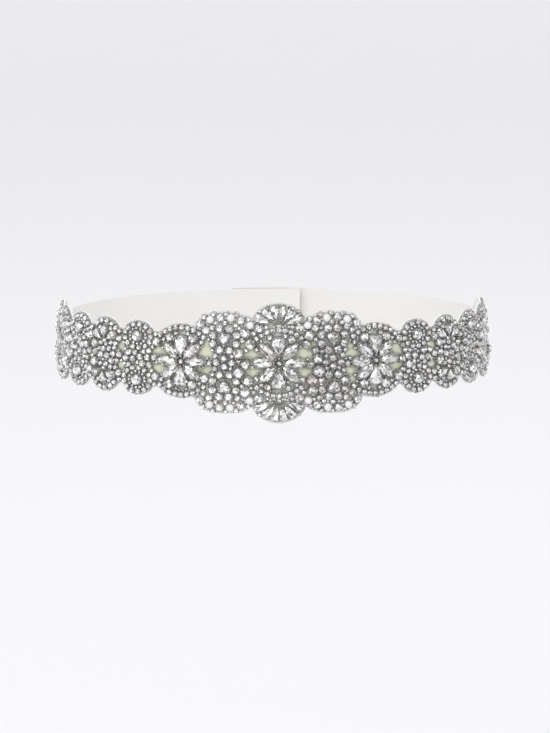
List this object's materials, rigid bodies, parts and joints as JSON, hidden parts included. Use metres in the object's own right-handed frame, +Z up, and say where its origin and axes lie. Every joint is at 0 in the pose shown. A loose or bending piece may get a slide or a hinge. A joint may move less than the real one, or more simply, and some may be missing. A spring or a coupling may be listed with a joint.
{
  "type": "bridal sash",
  "caption": "Satin ribbon sash worn round the waist, its front covered by a scalloped band of beaded flowers, fans and rosettes; hook and bar at the back.",
  "frame": {"origin": "centre of the waist ring at the middle of the ribbon's width, where the wearer's waist holds it", "axes": "+X to the viewer's right as seen from the front, -Y towards the viewer, +Z up"},
  "size_m": [0.231, 0.1811, 0.0634],
  "materials": {
    "ribbon_satin": "off-white satin with a soft sheen along the ribbon",
    "backing_net": "pale yellow-green felted net with an off-white cut edge",
    "foiled_crystal": "clear cut glass with a silver foil back, opaque and mirror bright",
    "round_pearl": "white pearl lustre",
    "silver_metal": "silver-tone stone settings, hook and bar"
  },
  "bodies": {
    "root": {"sash_ribbon": "ribbon_satin", "closure_hook": "silver_metal", "closure_bar": "silver_metal", "applique_backing": "backing_net", "centre_flower": "foiled_crystal", "fan_upper": "foiled_crystal", "centre_arc_upper": "foiled_crystal", "fan_lower": "foiled_crystal", "centre_arc_lower": "foiled_crystal", "left_flower": "foiled_crystal", "left_round_cluster": "foiled_crystal", "left_centre_row": "foiled_crystal", "left_end_rosette": "foiled_crystal", "left_pear_rosette_upper": "foiled_crystal", "left_flower_arc_upper": "foiled_crystal", "left_pearl_arc_upper": "round_pearl", "left_rosette_1_upper": "foiled_crystal", "left_rosette_2_upper": "foiled_crystal", "left_rosette_3_upper": "foiled_crystal", "left_rosette_4_upper": "foiled_crystal", "left_rosette_5_upper": "foiled_crystal", "left_pear_rosette_lower": "foiled_crystal", "left_flower_arc_lower": "foiled_crystal", "left_pearl_arc_lower": "round_pearl", "left_rosette_1_lower": "foiled_crystal", "left_rosette_2_lower": "foiled_crystal", "left_rosette_3_lower": "foiled_crystal", "left_rosette_4_lower": "foiled_crystal", "left_rosette_5_lower": "foiled_crystal", "right_flower": "foiled_crystal", "right_round_cluster": "foiled_crystal", "right_centre_row": "foiled_crystal", "right_end_rosette": "foiled_crystal", "right_pear_rosette_upper": "foiled_crystal", "right_flower_arc_upper": "foiled_crystal", "right_pearl_arc_upper": "round_pearl", "right_rosette_1_upper": "foiled_crystal", "right_rosette_2_upper": "foiled_crystal", "right_rosette_3_upper": "foiled_crystal", "right_rosette_4_upper": "foiled_crystal", "right_rosette_5_upper": "foiled_crystal", "right_pear_rosette_lower": "foiled_crystal", "right_flower_arc_lower": "foiled_crystal", "right_pearl_arc_lower": "round_pearl", "right_rosette_1_lower": "foiled_crystal", "right_rosette_2_lower": "foiled_crystal", "right_rosette_3_lower": "foiled_crystal", "right_rosette_4_lower": "foiled_crystal", "right_rosette_5_lower": "foiled_crystal"}
  },
  "joints": []
}
